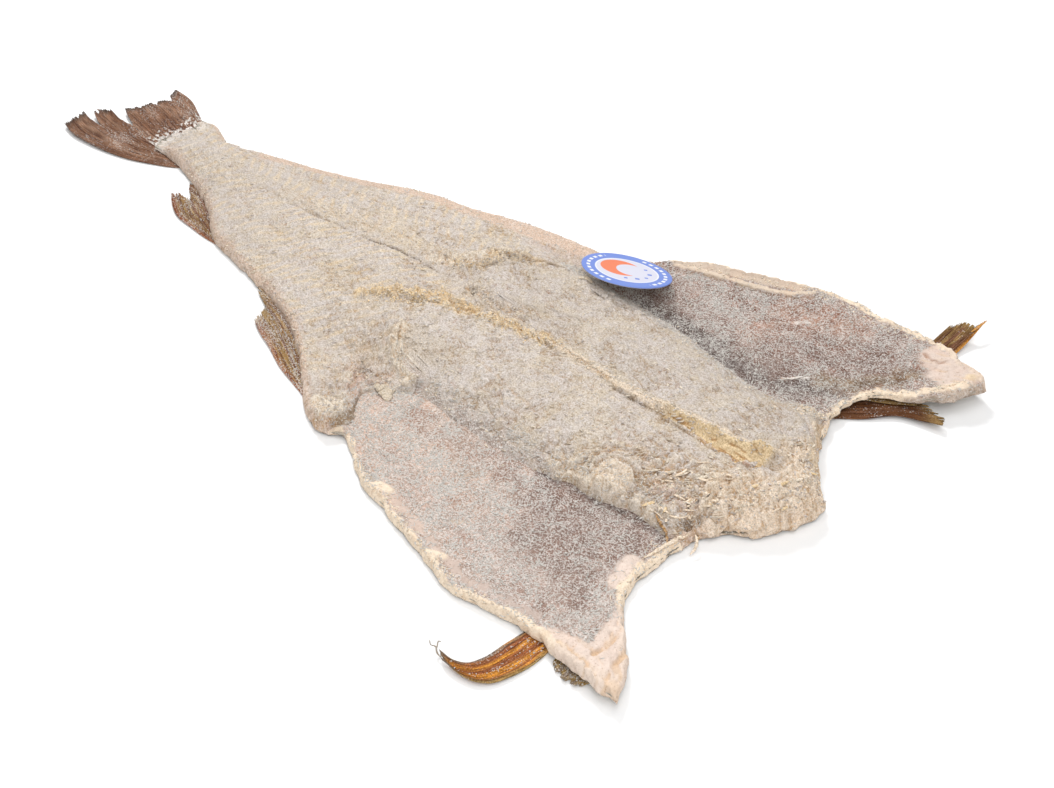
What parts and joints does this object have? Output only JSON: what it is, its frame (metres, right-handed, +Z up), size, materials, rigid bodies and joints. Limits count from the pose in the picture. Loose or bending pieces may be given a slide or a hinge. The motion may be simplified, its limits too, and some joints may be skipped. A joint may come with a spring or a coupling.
{
  "type": "salted dried cod",
  "caption": "Whole salted dried cod, headless, split and opened flat, lying flesh side up with its fins on and a round card tag stuck in the flesh.",
  "frame": {"origin": "on the floor, under the middle of the whole fish with its fins", "axes": "+X from the tail to the cut neck along the backbone line, +Y towards the side with the tag, +Z up out of the flesh side"},
  "size_m": [0.7168, 0.4366, 0.0275],
  "materials": {
    "flesh_and_skin": "dry matt fish flesh, cream to grey-mauve, fibrous and salt-grained, over mottled olive-brown skin",
    "tail_fin": "dry brown fin membrane with fine rays and salt dust",
    "anal_fins": "dry brown to rust fin membrane with fine rays",
    "pectoral_fins": "dry orange-brown to olive fin with lengthwise rays",
    "pelvic_fins": "dry dark brown, stringy fin rays with salt",
    "tag_card": "smooth printed card, blue ring on pale lilac-white"
  },
  "bodies": {
    "root": {"body": "flesh_and_skin", "tail_fin": "tail_fin", "anal_fin_rear": "anal_fins", "anal_fin_front": "anal_fins", "pectoral_fin_near": "pectoral_fins", "pectoral_fin_far": "pectoral_fins", "pelvic_fin_near": "pelvic_fins", "pelvic_fin_far": "pelvic_fins", "tag": "tag_card"}
  },
  "joints": []
}
